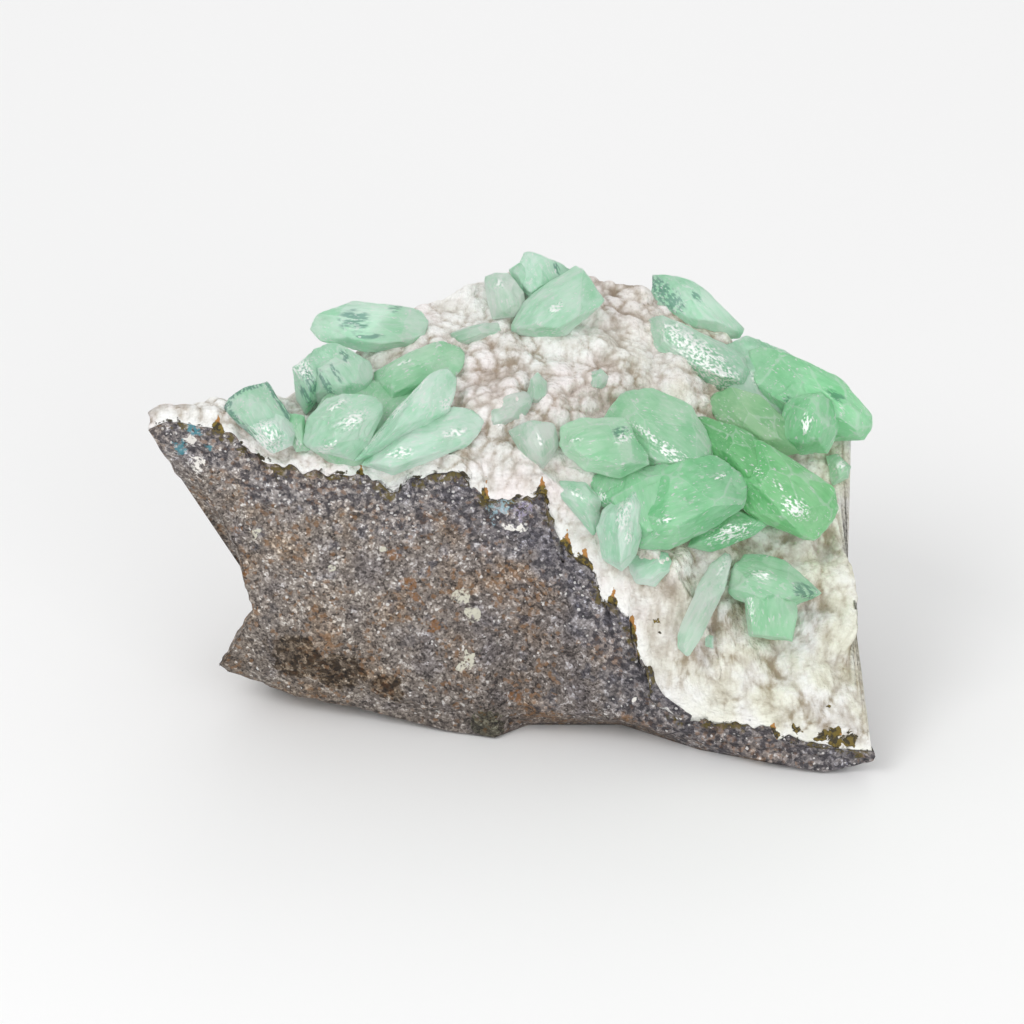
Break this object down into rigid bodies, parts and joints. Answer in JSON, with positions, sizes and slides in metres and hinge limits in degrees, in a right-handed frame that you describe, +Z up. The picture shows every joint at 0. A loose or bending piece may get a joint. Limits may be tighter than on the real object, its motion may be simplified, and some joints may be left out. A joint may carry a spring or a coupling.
{
  "type": "apophyllite on mordenite specimen",
  "caption": "Mineral specimen: broken basalt block with a sloping white mordenite crust and blocky translucent green apophyllite crystals growing on the crust.",
  "frame": {"origin": "a point in the middle of the flat base of the basalt block", "axes": "+Z up, +X along the block towards its thin right-hand end, +Y towards the back of the specimen, so that the crust slopes down to the front and right"},
  "size_m": [0.131, 0.0713, 0.0802],
  "materials": {
    "basalt_matrix": "rough broken grey-brown basalt",
    "mordenite_crust": "fine sparkling white granular crust",
    "crystal_left_cube": "translucent green crystal, pearly and etched faces",
    "crystal_left_point": "translucent green crystal, pearly and etched faces",
    "cluster_left": "translucent green crystal, pearly and etched faces",
    "crystal_pale_centre": "translucent pale green crystal",
    "crystal_embedded": "translucent green crystal, pearly and etched faces",
    "crystal_striated": "near colourless striated crystal",
    "cluster_top": "translucent green crystal, pearly and etched faces",
    "cluster_centre": "translucent green crystal, pearly and etched faces",
    "cluster_right": "translucent green crystal, pearly and etched faces",
    "crystal_edge": "translucent green striated crystal",
    "crystal_blade": "translucent pale blue-green crystal",
    "crystal_lower": "translucent green crystal, pearly and etched faces"
  },
  "bodies": {
    "root": {"basalt_matrix": "basalt_matrix", "mordenite_crust": "mordenite_crust", "crystal_left_cube": "crystal_left_cube", "crystal_left_point": "crystal_left_point", "cluster_left": "cluster_left", "crystal_pale_centre": "crystal_pale_centre", "crystal_embedded": "crystal_embedded", "crystal_striated": "crystal_striated", "cluster_top": "cluster_top", "cluster_centre": "cluster_centre", "cluster_right": "cluster_right", "crystal_edge": "crystal_edge", "crystal_blade": "crystal_blade", "crystal_lower": "crystal_lower"}
  },
  "joints": []
}
